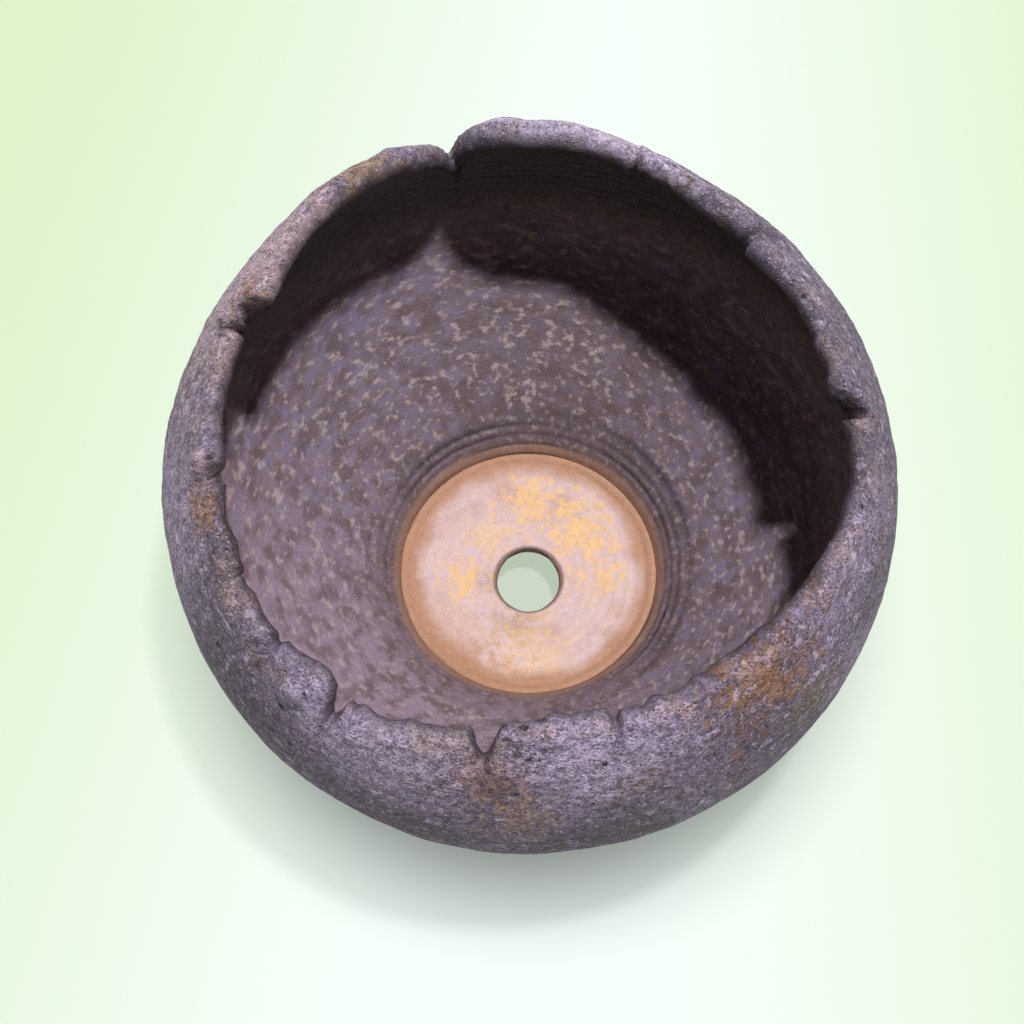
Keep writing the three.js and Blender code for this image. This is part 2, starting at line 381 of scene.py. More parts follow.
    def down_the_section(on_shoulder, on_lip, inside_too=True):
        low = np.zeros((low_rows, count))
        lip_marks = np.repeat(on_lip[None], lip_rows, axis=0)
        back = np.concatenate([low, on_shoulder])[::-1] * (1.0 if inside_too else 0.0)
        return np.concatenate([low, on_shoulder, lip_marks, back, np.zeros((fillet_rows, count))])

    within = down_the_section(np.zeros_like(to_edge), np.zeros(count))
    lip_start = low_rows + len(shoulder)
    within[lip_start : lip_start + lip_rows] = np.linspace(0.0, 1.0, lip_rows)[:, None]
    within[lip_start + lip_rows :] = 1.0
    edge = down_the_section(np.exp(-((to_tear / WORN_AND_HIGHLIGHT_DEPTH) ** 2)), np.ones(count))
    sunk_share = np.clip(sunk / 1.2, 0.0, 1.0)
    hollow = down_the_section(sunk_share, np.clip(groove, 0.0, 1.0) * 0.7, False)

    rising = soft_step((section[..., 1] - edge_height + LEAN_RUN) / LEAN_RUN)
    swung = circle + np.radians(lean) * rising
    points = np.stack(
        [section[..., 0] * np.cos(swung), section[..., 0] * np.sin(swung), section[..., 1]], axis=2
    )
    return points, {"inside": within, "edge": edge, "hollow": hollow}


def surface_normals(points):
    """Normals of a closed ring of rows and columns of points."""
    down_rows = np.roll(points, -1, axis=0) - np.roll(points, 1, axis=0)
    round_columns = np.roll(points, -1, axis=1) - np.roll(points, 1, axis=1)
    normals = np.cross(round_columns, down_rows)
    return normals / (np.linalg.norm(normals, axis=2, keepdims=True) + 1e-9)


def ring_mesh(name, points, marks=None):
    """A closed ring of quads in metres, with named values for each point."""
    rows, columns = points.shape[:2]
    index = np.arange(rows * columns).reshape(rows, columns)
    ahead = np.roll(index, -1, axis=1)
    corners = [index, ahead, np.roll(ahead, -1, axis=0), np.roll(index, -1, axis=0)]
    faces = np.stack(corners, axis=2)
    mesh = bpy.data.meshes.new(name)
    spots = (points.reshape(-1, 3) / 1000.0).tolist()
    mesh.from_pydata(spots, [], faces.reshape(-1, 4).tolist())
    for label, values in (marks or {}).items():
        layer = mesh.attributes.new(label, "FLOAT", "POINT")
        layer.data.foreach_set("value", np.asarray(values, np.float32).ravel())
    mesh.shade_smooth()
    thing = bpy.data.objects.new(name, mesh)
    bpy.context.scene.collection.objects.link(thing)
    return thing


wall_skin, wall_marks = wall_points(rim_columns())
wall_normals = surface_normals(wall_skin)
height = wall_skin[..., 2]
smoother_inside = 1.0 - 0.8 * wall_marks["inside"]
push = waves(wall_skin, HAND_WAVES) + waves(wall_skin, THUMB_WAVES) * smoother_inside
push = push + waves(wall_skin, GRAIN_WAVES) * smoother_inside

# The rings are ridges with a line of painted shade between them, strongest at the back right.
ring_zone = wall_marks["inside"] * (1.0 - soft_step((height - RINGS_TOP) / RINGS_FADE))
wander = clay_noise(wall_skin * (0.3, 0.3, 1.0), 9.0, 15)
rings = np.abs(np.sin(height * RING_TURN + wander))
patchy = clay_noise(wall_skin * (1.0, 1.0, 0.4), 20.0, 17)
reach = np.linalg.norm(wall_skin[..., :2], axis=2)
to_back_right = (0.5 * wall_skin[..., 0] + 0.85 * wall_skin[..., 1]) / reach
ring_strength = ring_zone * (0.35 + 0.65 * soft_step(0.5 + 0.8 * patchy))
ring_strength = ring_strength * (0.30 + soft_step(0.6 + 0.6 * to_back_right))
push = push + 0.10 * np.sin(height * 1.3 + wander) * (1.0 - ring_zone)
push = push + (rings - 0.7) * ring_strength
ring_shade_lines = (1.0 - soft_step(rings / RING_SHADE_WIDTH)) * ring_strength
wall_marks["ring shade"] = np.minimum(ring_shade_lines, 1.0)

# The waves are held back at the belly and at the base, which keep to their sizes.
outer_side = 1.0 - wall_marks["inside"]
belly_guard = np.exp(-(((height - BELLY_HEIGHT) / 18.0) ** 2)) * outer_side
push = (push * (1.0 - 0.6 * belly_guard) - 0.1) * soft_step((height - BASE_HEIGHT) / 4.0)
wall_skin = wall_skin + wall_normals * push[..., None]
wall_skin[..., 2] -= PRESSED_SHARE * np.maximum(wall_skin[..., 2] - PRESSED_FROM, 0.0)
wall = ring_mesh("thrown_wall", wall_skin, wall_marks)


def put(tree, kind, sockets=None, **settings):
    """Adds a node; each socket takes a link or a plain value."""
    node = tree.nodes.new(kind)
    for label, value in settings.items():
        setattr(node, label, value)
    for label, value in (sockets or {}).items():
        if isinstance(value, bpy.types.NodeSocket):
            tree.links.new(value, node.inputs[label])
        else:
            node.inputs[label].default_value = value
    return node


def calc(tree, operation, first, second=0.0):
    return put(tree, "ShaderNodeMath", {0: first, 1: second}, operation=operation).outputs[0]


def fade(tree, value, low, high, start=0.0, end=1.0):
    """A soft ramp from start to end, while the value goes from low to high."""
    sockets = {"Value": value, "From Min": low, "From Max": high, "To Min": start, "To Max": end}
    ramp = put(tree, "ShaderNodeMapRange", sockets, interpolation_type="SMOOTHSTEP")
    return ramp.outputs["Result"]


def tint(tree, share, first, second):
    """The first colour with the second mixed in by the share."""
    node = put(tree, "ShaderNodeMix", {0: share}, data_type="RGBA")
    for place, colour in ((6, first), (7, second)):
        if isinstance(colour, bpy.types.NodeSocket):
            tree.links.new(colour, node.inputs[place])
        else:
            node.inputs[place].default_value = (*colour, 1.0)
    return node.outputs[2]


def clouds(tree, place, scale, detail=2.0, low=0.4, high=0.6):
    """A mask of soft clouds, this many to the metre."""
    noise = put(tree, "ShaderNodeTexNoise", {"Vector": place, "Scale": scale, "Detail": detail})
    return fade(tree, noise.outputs["Fac"], low, high)


def on_vectors(tree, operation, *parts):
    """The outputs of a node that does this operation on places or directions."""
    return put(tree, "ShaderNodeVectorMath", dict(enumerate(parts)), operation=operation).outputs


def shaded(tree, colour, strength):
    """The colour made darker or lighter by a value."""
    sockets = {0: colour, "Scale": strength}
    return put(tree, "ShaderNodeVectorMath", sockets, operation="SCALE").outputs[0]


def new_group(name, takes, gives):
    """An empty shader group with its named inputs and outputs."""
    tree = bpy.data.node_groups.new(name, "ShaderNodeTree")
    for label, (kind, value) in takes.items():
        socket = tree.interface.new_socket(label, in_out="INPUT", socket_type=kind)
        if value is not None:
            socket.default_value = value
    for label in gives:
        tree.interface.new_socket(label, in_out="OUTPUT", socket_type="NodeSocketFloat")
    return tree, put(tree, "NodeGroupInput").outputs, put(tree, "NodeGroupOutput").inputs


VECTOR, NUMBER = "NodeSocketVector", "NodeSocketFloat"

grog_clay, takes, gives = new_group(
    "grog in clay",
    {
        "Place": (VECTOR, None),
        "Grain Size": (NUMBER, 0.5),
        "Pitting": (NUMBER, 1.0),
        "Roughness": (NUMBER, 1.0),
    },
    ("Height", "Grit", "Pale Grains", "Pits"),
)
grog_place = takes["Place"]
per_metre = calc(grog_clay, "DIVIDE", 1000.0, takes["Grain Size"])
lumps_per_metre = calc(grog_clay, "MULTIPLY", per_metre, 0.25)
sockets = {"Vector": grog_place, "Scale": per_metre, "Detail": 2.0}
fine = put(grog_clay, "ShaderNodeTexNoise", sockets)
sockets = {"Vector": grog_place, "Scale": lumps_per_metre, "Detail": 1.0}
lumps = put(grog_clay, "ShaderNodeTexNoise", sockets)

# Each cell is a grain. A few grains are pale, and a few have fallen out.
grains = put(grog_clay, "ShaderNodeTexVoronoi", {"Vector": grog_place, "Scale": per_metre})
grain_pick = put(grog_clay, "ShaderNodeSeparateColor", {"Color": grains.outputs["Color"]}).outputs
grain = fade(grog_clay, grains.outputs["Distance"], 0.60, 0.35)
pale = calc(grog_clay, "MULTIPLY", fade(grog_clay, grain_pick["Red"], 0.93, 0.97), grain)
pinholes = calc(grog_clay, "MULTIPLY", fade(grog_clay, grain_pick["Green"], 0.92, 0.96), grain)

# Blown pits of different sizes, with their round outline a little warped.
PITS_PER_METRE = 150.0
PIT_WARP = (0.0022, 0.0022, 0.0022)
warped = on_vectors(grog_clay, "MULTIPLY_ADD", fine.outputs["Color"], PIT_WARP, grog_place)[0]
holes = put(grog_clay, "ShaderNodeTexVoronoi", {"Vector": warped, "Scale": PITS_PER_METRE})
hole_pick = put(grog_clay, "ShaderNodeSeparateColor", {"Color": holes.outputs["Color"]}).outputs
hole_size = fade(grog_clay, hole_pick["Green"], 0.45, 1.0, 0.0, 0.15)
from_hole = calc(grog_clay, "SUBTRACT", holes.outputs["Distance"], hole_size)
pits = fade(grog_clay, from_hole, 0.02, -0.03)
pits = calc(grog_clay, "MAXIMUM", pits, calc(grog_clay, "MULTIPLY", pinholes, 0.7))
pits = calc(grog_clay, "MULTIPLY", pits, takes["Pitting"])

# The relief: fine and lumpy waves, grains standing up out of them and pits sunk in.
fine_height = calc(grog_clay, "MULTIPLY", fine.outputs["Fac"], 0.8)
lump_height = calc(grog_clay, "MULTIPLY", lumps.outputs["Fac"], 0.8)
surface = calc(grog_clay, "ADD", fine_height, lump_height)
grain_height = calc(grog_clay, "MULTIPLY", grain_pick["Red"], grain)
grain_height = calc(grog_clay, "MULTIPLY", grain_height, 0.35)
surface = calc(grog_clay, "ADD", surface, grain_height)
surface = calc(grog_clay, "SUBTRACT", surface, calc(grog_clay, "MULTIPLY", pits, 1.2))
surface = calc(grog_clay, "MULTIPLY", surface, takes["Roughness"])
grit = calc(
    grog_clay,
    "ADD",
    fade(grog_clay, grain_pick["Red"], 0.0, 0.45, -0.6, 0.0),
    fade(grog_clay, grain_pick["Red"], 0.55, 1.0, 0.0, 0.7),
)
grit = calc(grog_clay, "ADD", grit, fade(grog_clay, lumps.outputs["Fac"], 0.35, 0.65, -0.2, 0.2))
for label, value in {"Height": surface, "Grit": grit, "Pale Grains": pale, "Pits": pits}.items():
    grog_clay.links.new(value, gives[label])

# Ragged patches: the fire's flashes and stains, and also painted light and shade.
flash_and_light_patch, takes, gives = new_group(
    "flash of the fire and painted light",
    {
        "Place": (VECTOR, None),
        "Fray": (NUMBER, 0.5),
        "Middle": (VECTOR, None),
        "Reach": (NUMBER, 0.01),
        "Raggedness": (NUMBER, 1.0),
    },
    ("Mask",),
)
distance = on_vectors(flash_and_light_patch, "DISTANCE", takes["Place"], takes["Middle"])["Value"]
ragged = calc(flash_and_light_patch, "MULTIPLY", takes["Raggedness"], 3.2)
fray = calc(flash_and_light_patch, "MULTIPLY", calc(flash_and_light_patch, "SUBTRACT", takes["Fray"], 0.5), ragged)
share_of_reach = calc(flash_and_light_patch, "DIVIDE", distance, takes["Reach"])
closeness = calc(flash_and_light_patch, "SUBTRACT", 1.0, share_of_reach)
mask = fade(flash_and_light_patch, calc(flash_and_light_patch, "ADD", closeness, fray), 0.0, 0.8)
flash_and_light_patch.links.new(mask, gives["Mask"])


def new_material(name):
    material = bpy.data.materials.new(name)
    material.use_nodes = True
    tree = material.node_tree
    place = put(tree, "ShaderNodeTexCoord").outputs["Object"]
    return material, tree, tree.nodes["Principled BSDF"].inputs, place


def mark(tree, label):
    return put(tree, "ShaderNodeAttribute", attribute_name=label).outputs["Fac"]


def placed(tree, group, sockets):
    """The outputs of a shader group put into a material with its own values."""
    return put(tree, "ShaderNodeGroup", sockets, node_tree=group).outputs


def patched_with_flash_and_light(tree, place, colour, flash_and_light_patches, fray_size=3.8):
    """The colour with ragged patches, some the fire's flashes and stains, some painted light
    and shade: (middle and reach in mm, raggedness, strength, colour)."""
    sockets = {"Vector": place, "Scale": 1000.0 / fray_size, "Detail": 4.0, "Roughness": 0.62}
    fray = put(tree, "ShaderNodeTexNoise", sockets).outputs["Fac"]
    for middle, reach, raggedness, strength, stain in flash_and_light_patches:
        sockets = {"Place": place, "Fray": fray, "Raggedness": raggedness, "Reach": reach / 1000.0}
        sockets["Middle"] = tuple(part / 1000.0 for part in middle)
        flash = placed(tree, flash_and_light_patch, sockets)
        colour = tint(tree, calc(tree, "MULTIPLY", flash["Mask"], strength), colour, stain)
    return colour


def finish(tree, clay, colour, grog, rough, smooth, relief):
    """Joins colour, roughness and relief to the clay's shader."""
    tree.links.new(colour, clay["Base Color"])
    tree.links.new(fade(tree, grog["Grit"], -0.7, 0.7, rough, smooth), clay["Roughness"])
    sockets = {"Height": grog["Height"], "Distance": relief, "Strength": 1.0}
    tree.links.new(put(tree, "ShaderNodeBump", sockets).outputs["Normal"], clay["Normal"])


PURPLE_GREY = (0.265, 0.197, 0.30)
SMOKE_AND_SHADE = (0.13, 0.096, 0.142)
LILAC_BLOOM = (0.34, 0.27, 0.41)
BROWN_GREY = (0.19, 0.12, 0.105)
PAINTED_SHOULDER_LIGHT = (0.59, 0.42, 0.48)
PALE_LILAC = (0.59, 0.47, 0.66)
RUST = (0.34, 0.155, 0.065)
OCHRE = (0.40, 0.235, 0.095)
OLIVE = (0.15, 0.125, 0.05)
WORN_PINK_AND_HIGHLIGHT = (0.50, 0.34, 0.33)
PALE_GROG = (0.78, 0.66, 0.66)
PAINTED_RECESS_SHADE = (0.018, 0.012, 0.014)

wall_material, tree, clay, place = new_material("grogged stoneware")
inside = mark(tree, "inside")
outside = calc(tree, "SUBTRACT", 1.0, inside)
sockets = {"Place": place, "Grain Size": 0.65, "Pitting": outside}
sockets["Roughness"] = fade(tree, inside, 0.0, 1.0, 1.0, 0.2)
grog = placed(tree, grog_clay, sockets)
outer = tint(tree, clouds(tree, place, 30.0, 3.0, 0.40, 0.66), PURPLE_GREY, SMOKE_AND_SHADE)
outer = tint(tree, clouds(tree, place, 70.0, 2.0, 0.50, 0.76), outer, BROWN_GREY)
outer = tint(tree, clouds(tree, place, 120.0, 3.0, 0.50, 0.80), outer, LILAC_BLOOM)
outer = patched_with_flash_and_light(
    tree,
    place,
    outer,
    [
        # Painted light: the upper left shoulder is made paler, where the light falls on it.
        ((-80, 50, 146), 64, 0.8, 0.8, PAINTED_SHOULDER_LIGHT),
        ((15, 98, 156), 56, 0.8, 0.95, PALE_LILAC),
        ((-42, -90, 148), 48, 0.8, 0.6, PALE_LILAC),
        ((18, -98, 146), 34, 0.8, 0.5, PALE_LILAC),
        # The wide smoke patches that follow, on the front, left and right of the belly, are partly
        # painted shade and partly smoke in the clay.
        ((-88, -76, 112), 36, 0.6, 0.95, SMOKE_AND_SHADE),
        ((-58, -98, 95), 46, 0.6, 0.6, SMOKE_AND_SHADE),
        ((10, -108, 62), 45, 0.8, 0.6, SMOKE_AND_SHADE),
        ((-105, -20, 118), 40, 0.8, 0.35, PALE_LILAC),
        ((94, 15, 136), 62, 0.7, 0.75, SMOKE_AND_SHADE),
        ((66, -84, 125), 48, 0.7, 0.7, SMOKE_AND_SHADE),
        ((-97, -27, 145), 9, 1.2, 0.75, RUST),
        ((66, -78, 144), 22, 1.5, 0.75, RUST),
        ((74, -70, 147), 9, 1.4, 0.6, SMOKE_AND_SHADE),
        ((62, -86, 136), 8, 1.4, 0.6, SMOKE_AND_SHADE),
        ((82, -76, 118), 14, 1.3, 0.6, OLIVE),
        ((-51, 82, 156), 13, 1.4, 0.65, OCHRE),
        ((-84, 38, 158), 10, 1.4, 0.6, RUST),
        ((-12, -105, 134), 13, 1.4, 0.5, RUST),
        ((-3, -112, 119), 14, 1.4, 0.4, OCHRE),
        ((60, 98, 90), 26, 1.4, 0.5, RUST),
        ((-104, 40, 70), 30, 1.4, 0.45, OLIVE),
        ((40, -85, 55), 30, 1.4, 0.5, RUST),
    ],
)
# Paler pink clay near the torn edge: partly wear, partly a painted highlight where the edge
# catches the light.
worn_and_highlight = calc(tree, "MULTIPLY", mark(tree, "edge"), clouds(tree, place, 85.0, 3.0, 0.46, 0.70))
outer = tint(tree, calc(tree, "MULTIPLY", worn_and_highlight, 0.55), outer, WORN_PINK_AND_HIGHLIGHT)
blisters = calc(tree, "MULTIPLY", clouds(tree, place, 250.0, 1.0, 0.61, 0.69), 0.5)
outer = tint(tree, blisters, outer, PALE_LILAC)

# Inside, the throwing drew the mottles out round the pot, so they are placed by the
# direction from the axis, which changes slowly, and by the way up the wall.
INNER_GREY = (0.215, 0.155, 0.185)
INNER_BLUE = (0.225, 0.178, 0.268)
INNER_BROWN_AND_SHADE = (0.13, 0.086, 0.088)
PAINTED_INNER_LIGHT = (0.40, 0.285, 0.38)
FLECK = (0.46, 0.36, 0.355)
PAINTED_RIM_SHADOW = (0.010, 0.016, 0.012)
BROWN_FOOT = (0.36, 0.20, 0.13)
BRUSH_LENGTH = 0.055

level = on_vectors(tree, "MULTIPLY", place, (1.0, 1.0, 0.0))[0]
around = on_vectors(tree, "NORMALIZE", level)[0]
from_axis = on_vectors(tree, "LENGTH", level)["Value"]
high = put(tree, "ShaderNodeSeparateXYZ", {"Vector": place}).outputs["Z"]
up_wall = calc(tree, "MULTIPLY", calc(tree, "ADD", high, from_axis), 0.7)
up_wall = put(tree, "ShaderNodeCombineXYZ", {"Z": up_wall}).outputs[0]
brush = (BRUSH_LENGTH, BRUSH_LENGTH, 0.0)
brushed = on_vectors(tree, "MULTIPLY_ADD", around, brush, up_wall)[0]
inner = tint(tree, clouds(tree, brushed, 290.0, 2.0, 0.40, 0.62), INNER_GREY, INNER_BLUE)
inner = patched_with_flash_and_light(
    tree,
    place,
    inner,
    [
        # Painted light: the inside wall at the front left is made paler, where more light falls.
        ((-66, -66, 62), 115, 0.3, 0.65, PAINTED_INNER_LIGHT),
        # Painted shade: the inside wall low at the back is made darker.
        ((10, 66, 40), 62, 0.4, 0.5, INNER_BROWN_AND_SHADE),
    ],
    9.0,
)
browned = calc(tree, "MULTIPLY", clouds(tree, brushed, 190.0, 3.0, 0.42, 0.66), 0.7)
inner = tint(tree, browned, inner, INNER_BROWN_AND_SHADE)
flecks = clouds(tree, brushed, 430.0, 2.0, 0.52, 0.72)
inner = tint(tree, calc(tree, "MULTIPLY", flecks, 0.85), inner, FLECK)
inner = tint(tree, fade(tree, high, 0.040, 0.024, 0.0, 0.5), inner, INNER_BROWN_AND_SHADE)
inner = tint(tree, fade(tree, high, 0.0268, 0.0224, 0.0, 0.8), inner, BROWN_FOOT)
# Painted shade: a dark line in the groove between the throwing rings.
inner = tint(tree, calc(tree, "MULTIPLY", mark(tree, "ring shade"), 0.95), inner, PAINTED_RECESS_SHADE)
# Painted shade: the upper inside wall, where the curled rim casts its shadow, is darkened almost
# to black.
inner = tint(tree, fade(tree, high, 0.072, 0.106, 0.0, 0.94), inner, PAINTED_RIM_SHADOW)

colour = tint(tree, inside, outer, inner)
gritty = fade(tree, grog["Grit"], -0.9, 0.9, -0.6, 0.8)
gritty = calc(tree, "MULTIPLY", gritty, fade(tree, inside, 0.0, 1.0, 1.0, 0.15))
colour = shaded(tree, colour, calc(tree, "ADD", gritty, 1.0))
grog_share = calc(tree, "MULTIPLY", grog["Pale Grains"], fade(tree, inside, 0.0, 1.0, 0.8, 0.04))
colour = tint(tree, grog_share, colour, PALE_GROG)
# Painted shade: the pits, the creases and the grooves under the tears are darkened.
crease_shade = calc(tree, "MULTIPLY", mark(tree, "hollow"), 0.35)
dark = calc(tree, "MAXIMUM", calc(tree, "MULTIPLY", grog["Pits"], 0.9), crease_shade)
finish(tree, clay, tint(tree, dark, colour, PAINTED_RECESS_SHADE), grog, 0.60, 0.36, 0.0009)
wall.data.materials.append(wall_material)
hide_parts("pot_wall")
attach(wall, "root")

# The base slab, rolled from the same clay and fired to a pinkish beige where the wall
# sheltered it. It is the floor of the pot, and the drain hole goes through it.

SLAB_BOTTOM = 9.0
SLAB_TOP = 21.0
SLAB_RADIUS = 61.8
DRAIN_RADIUS = 11.0
DRAIN_LIP = 1.6
DRAIN_OFFSET = 2.5
DRAIN_OVAL = 0.07
DISH_HEIGHT = 19.0
SLAB_WAVES = [(0.28, 16.0, 22), (0.16, 5.0, 23), (0.07, 2.0, 24)]


def arc(radius, height, size, angles):
    """Points of a rounded corner in section; at angle 0 it is at its top."""
    return [(radius + size * math.sin(s), height + size * math.cos(s)) for s in angles]


def slab_points():
    """The slab's skin: the dished floor, the rim under the wall, the side, the bottom and
    the flared drain hole, which sits a little forward."""
    floor = np.linspace(DRAIN_RADIUS + DRAIN_LIP, FLOOR_RADIUS - 0.6, 62)
    rise = 1.1 * ((floor - DRAIN_RADIUS) / 30.0) ** 1.6
    rolled_edge = 0.9 * soft_step((floor - 40.2) / 4.0) ** 1.4
    profile = arc(DRAIN_RADIUS + DRAIN_LIP, 17.5, 1.5, (-1.5, -1.2, -0.9, -0.6, -0.3))
    profile += list(zip(floor, DISH_HEIGHT + rise + rolled_edge))
    under_wall = (FLOOR_RADIUS + 0.2, 48.0, 54.0, SLAB_RADIUS - 1.0)
    profile += [(radius, SLAB_TOP) for radius in under_wall]
    profile += arc(SLAB_RADIUS - 1.0, SLAB_TOP - 1.0, 1.0, (0.5, 1.0, 1.5))
    side = np.linspace(SLAB_TOP - 2.0, SLAB_BOTTOM + 2.0, 8)
    profile += [(SLAB_RADIUS, height) for height in side]
    profile += arc(SLAB_RADIUS - 1.4, SLAB_BOTTOM + 1.4, 1.4, (1.8, 2.3, 2.8))
    bottom = np.linspace(SLAB_RADIUS - 2.5, DRAIN_RADIUS + 3.0, 26)
    profile += [(radius, SLAB_BOTTOM) for radius in bottom]
    drain = np.linspace(0.0, 1.0, 8)
    profile += [(DRAIN_RADIUS + 2.0 - 2.0 * s, SLAB_BOTTOM + 0.8 + 7.2 * s) for s in drain]
    radius, height = np.array(profile).T
    circle = np.radians(np.arange(0.0, 360.0, 1.0))
    radius, height, circle = radius[:, None], height[:, None], circle[None, :]
    near_drain = 1.0 - soft_step((radius - DRAIN_RADIUS - 2.0) / 28.0)
    ones = np.ones_like(circle)
    across = radius * np.cos(circle)
    ahead = radius * np.sin(circle) * (1.0 + DRAIN_OVAL * near_drain) - DRAIN_OFFSET * near_drain
    return np.stack([across, ahead, height * ones], axis=2)


slab_skin = slab_points()
slab_normals = surface_normals(slab_skin)
away = np.linalg.norm(slab_skin[..., :2], axis=2)
turned = 0.12 * np.sin(away * 1.7 + clay_noise(slab_skin * (0.4, 0.4, 1.0), 8.0, 21))
slab_push = waves(slab_skin, SLAB_WAVES) + turned

# Where the wall stands on it, the slab is pressed flat and a little down.
upper_face = soft_step((slab_skin[..., 2] - 18.0) / 2.0)
under_wall = soft_step((away - FLOOR_RADIUS + 1.5) / 1.5) * upper_face
slab_push = (slab_push - 0.3 * under_wall) * (1.0 - 0.8 * under_wall) - 0.12
slab = ring_mesh("floor_slab", slab_skin + slab_normals * slab_push[..., None])

PINK_BEIGE = (0.78, 0.54, 0.49)
LILAC_BEIGE = (0.74, 0.545, 0.555)
MAUVE = (0.60, 0.42, 0.45)
SALMON = (0.68, 0.42, 0.36)
BURNT_RING = (0.50, 0.255, 0.145)
LUTE_LINE = (0.24, 0.12, 0.08)
FLOOR_OCHRE = (0.93, 0.58, 0.27)
FLOOR_BROWN = (0.50, 0.33, 0.25)
FLOOR_PIT_SHADE = (0.34, 0.20, 0.17)
DRAIN_EDGE_SHADE = (0.20, 0.11, 0.085)
SLAB_SIDE = (0.20, 0.135, 0.14)

floor_material, tree, clay, place = new_material("sheltered clay")
grog = placed(tree, grog_clay, {"Place": place, "Grain Size": 0.9, "Pitting": 0.2})
colour = tint(tree, clouds(tree, place, 110.0, 3.0, 0.4, 0.62), PINK_BEIGE, LILAC_BEIGE)
colour = tint(tree, clouds(tree, place, 55.0, 3.0, 0.5, 0.72), colour, SALMON)
mauve_specks = calc(tree, "MULTIPLY", clouds(tree, place, 300.0, 3.0, 0.54, 0.76), 0.5)
colour = tint(tree, mauve_specks, colour, MAUVE)
colour = patched_with_flash_and_light(
    tree,
    place,
    colour,
    [
        ((-30, -28, 20), 24, 0.6, 0.55, SALMON),
        ((-4, -19, 20), 11, 0.9, 0.7, FLOOR_BROWN),
        ((-14, -3, 20), 7, 0.8, 0.5, FLOOR_BROWN),
        ((2, 27, 20), 12, 1.5, 0.85, FLOOR_OCHRE),
        ((19, 15, 20), 14, 1.6, 0.85, FLOOR_OCHRE),
        ((27, -3, 20), 9, 1.6, 0.7, FLOOR_OCHRE),
        ((-12, 15, 20), 10, 1.6, 0.5, FLOOR_OCHRE),
        ((-23, -3, 20), 9, 1.4, 0.9, FLOOR_OCHRE),
        ((0, -30, 20), 16, 1.5, 0.45, FLOOR_OCHRE),
        ((-11.8, -2.0, 20), 3.5, 0.4, 0.9, FLOOR_OCHRE),
        ((-16, -40, 20), 16, 1.0, 0.5, BURNT_RING),
    ],
    3.4,
)

# Outward from the middle: the burnt ring, the line of the luting slip and the slab's
# darker side, all with a wavy edge, and painted shade round the edge of the drain hole.
level = on_vectors(tree, "MULTIPLY", place, (1.0, 1.0, 0.0))[0]
from_middle = on_vectors(tree, "LENGTH", level)["Value"]
sockets = {"Vector": place, "Scale": 60.0, "Detail": 3.0}
wobble = put(tree, "ShaderNodeTexNoise", sockets).outputs["Fac"]
from_middle = calc(tree, "ADD", from_middle, fade(tree, wobble, 0.3, 0.7, -0.0014, 0.0014))
colour = tint(tree, fade(tree, from_middle, 0.0352, 0.0415, 0.0, 0.92), colour, BURNT_RING)
colour = tint(tree, fade(tree, from_middle, 0.0442, 0.0465, 0.0, 0.4), colour, LUTE_LINE)
colour = tint(tree, fade(tree, from_middle, 0.0535, 0.0605, 0.0, 0.85), colour, SLAB_SIDE)
drain_middle = (0.0, -DRAIN_OFFSET / 1000.0, 0.0)
from_drain = on_vectors(tree, "DISTANCE", level, drain_middle)["Value"]
# Painted shade round the edge of the drain hole.
colour = tint(tree, fade(tree, from_drain, 0.0132, 0.0119, 0.0, 0.8), colour, DRAIN_EDGE_SHADE)
colour = shaded(tree, colour, fade(tree, grog["Grit"], -1.0, 0.7, 0.93, 1.07))
# Painted shade: the pits in the floor are darkened.
colour = tint(tree, calc(tree, "MULTIPLY", grog["Pits"], 0.5), colour, FLOOR_PIT_SHADE)
finish(tree, clay, colour, grog, 0.85, 0.65, 0.00025)
slab.data.materials.append(floor_material)
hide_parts("base_slab")
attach(slab, "root")

# The three feet, pads of the same clay pressed on under the slab, with the thumb marks
# left in their sides. They were fired dark, and rub pale where they rest.

FOOT_RADIUS = 13.8
FOOT_TOP = 8.75
FOOT_CIRCLE = 44.0
HEEL = 2.6
WAIST = 1.1

# Each foot's name, its place round the pot in degrees and the seed of its thumb marks.
FEET = [("foot_back", 90, 31), ("foot_front_left", 210, 41), ("foot_front_right", 330, 51)]


